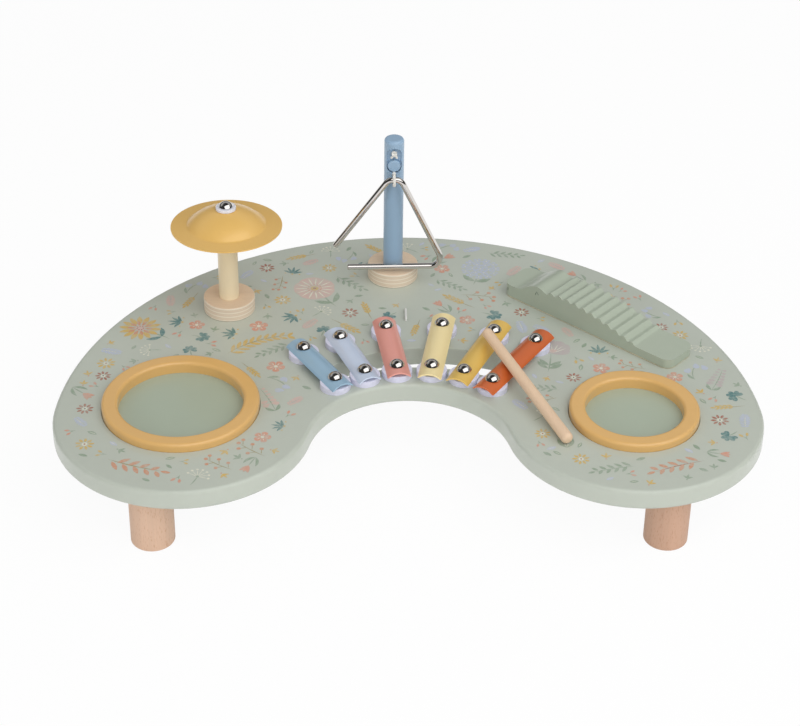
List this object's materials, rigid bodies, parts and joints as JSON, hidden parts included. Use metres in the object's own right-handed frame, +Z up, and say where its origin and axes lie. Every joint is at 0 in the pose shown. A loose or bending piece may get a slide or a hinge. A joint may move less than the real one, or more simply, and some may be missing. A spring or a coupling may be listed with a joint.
{
  "type": "musical activity table",
  "caption": "Low kidney-shaped toy music table with drums, a row of arched metal chime bars, a cymbal, a hanging triangle, a ribbed scraper and a loose mallet.",
  "frame": {"origin": "on the floor, under the middle of the board's bounding box", "axes": "+X to the right along the board's width, +Y to the back, away from the child, +Z up"},
  "size_m": [0.52, 0.3465, 0.189],
  "materials": {
    "sage_paint": "satin paint",
    "moss_paint": "satin paint",
    "ochre_paint": "satin paint",
    "membrane": "smooth film",
    "cymbal_lacquer": "satin lacquer",
    "cream_paint": "satin paint",
    "blue_paint": "satin paint",
    "birch_ply": "bare, sanded",
    "beech_oiled": "bare, sanded",
    "beech": "bare, sanded",
    "chrome": "polished",
    "cord": "woven",
    "white_plastic": "semi-gloss",
    "foam": "closed-cell",
    "zinc_steel": "zinc plated",
    "bar_blue": "satin lacquer",
    "bar_lavender": "satin lacquer",
    "bar_coral": "satin lacquer",
    "bar_cream": "satin lacquer",
    "bar_mustard": "satin lacquer",
    "bar_rust": "satin lacquer"
  },
  "bodies": {
    "table": {"bar_blue": "bar_blue", "bar_coral": "bar_coral", "bar_cream": "bar_cream", "bar_lavender": "bar_lavender", "bar_mustard": "bar_mustard", "bar_rust": "bar_rust", "bar_screws": "chrome", "bar_spacers": "foam", "cord_knot": "cord", "cord_peg": "blue_paint", "cymbal_base": "birch_ply", "cymbal_post": "cream_paint", "cymbal_screw": "chrome", "drum_head_left": "membrane", "drum_head_right": "membrane", "drum_ring_left": "ochre_paint", "drum_ring_right": "ochre_paint", "drum_screws": "zinc_steel", "leg_bolts": "zinc_steel", "leg_front_left": "beech", "leg_front_right": "beech", "leg_inserts": "zinc_steel", "leg_rear_left": "beech", "leg_rear_right": "beech", "mallet_staple": "chrome", "post_screws": "zinc_steel", "scraper": "moss_paint", "scraper_screws": "zinc_steel", "table_top": "sage_paint", "triangle_base": "birch_ply", "triangle_post": "blue_paint"},
    "cymbal_hub": {"cymbal_washer": "foam", "cymbal_bush": "white_plastic"},
    "cymbal": {"cymbal": "cymbal_lacquer"},
    "cord_loop": {"triangle_cord": "cord"},
    "triangle": {"triangle": "chrome"},
    "mallet": {"mallet": "beech_oiled"}
  },
  "joints": [
    {"name": "cymbal_rock", "type": "hinge", "parent": "table", "child": "cymbal_hub", "pos_m": [-0.13823, 0.06286, 0.1525], "axis": [1, 0, 0], "range_deg": [-0.4, 5.6]},
    {"name": "cymbal_spin", "type": "hinge", "parent": "cymbal_hub", "child": "cymbal", "pos_m": [-0.13823, 0.06286, 0.1525], "axis": [0, 0.0454, 0.999], "continuous": true},
    {"name": "triangle_sway", "type": "hinge", "parent": "table", "child": "cord_loop", "pos_m": [-0.00938, 0.09792, 0.16002], "axis": [0, 1, 0], "range_deg": [-4.5, 4.5]},
    {"name": "triangle_swing", "type": "hinge", "parent": "cord_loop", "child": "triangle", "pos_m": [-0.00938, 0.09792, 0.16002], "axis": [-1, 0, 0], "range_deg": [-2, 55]},
    {"name": "mallet_lift", "type": "slide", "parent": "table", "child": "mallet", "axis": [0, 0, 1], "range_m": [0, 0.1]}
  ]
}
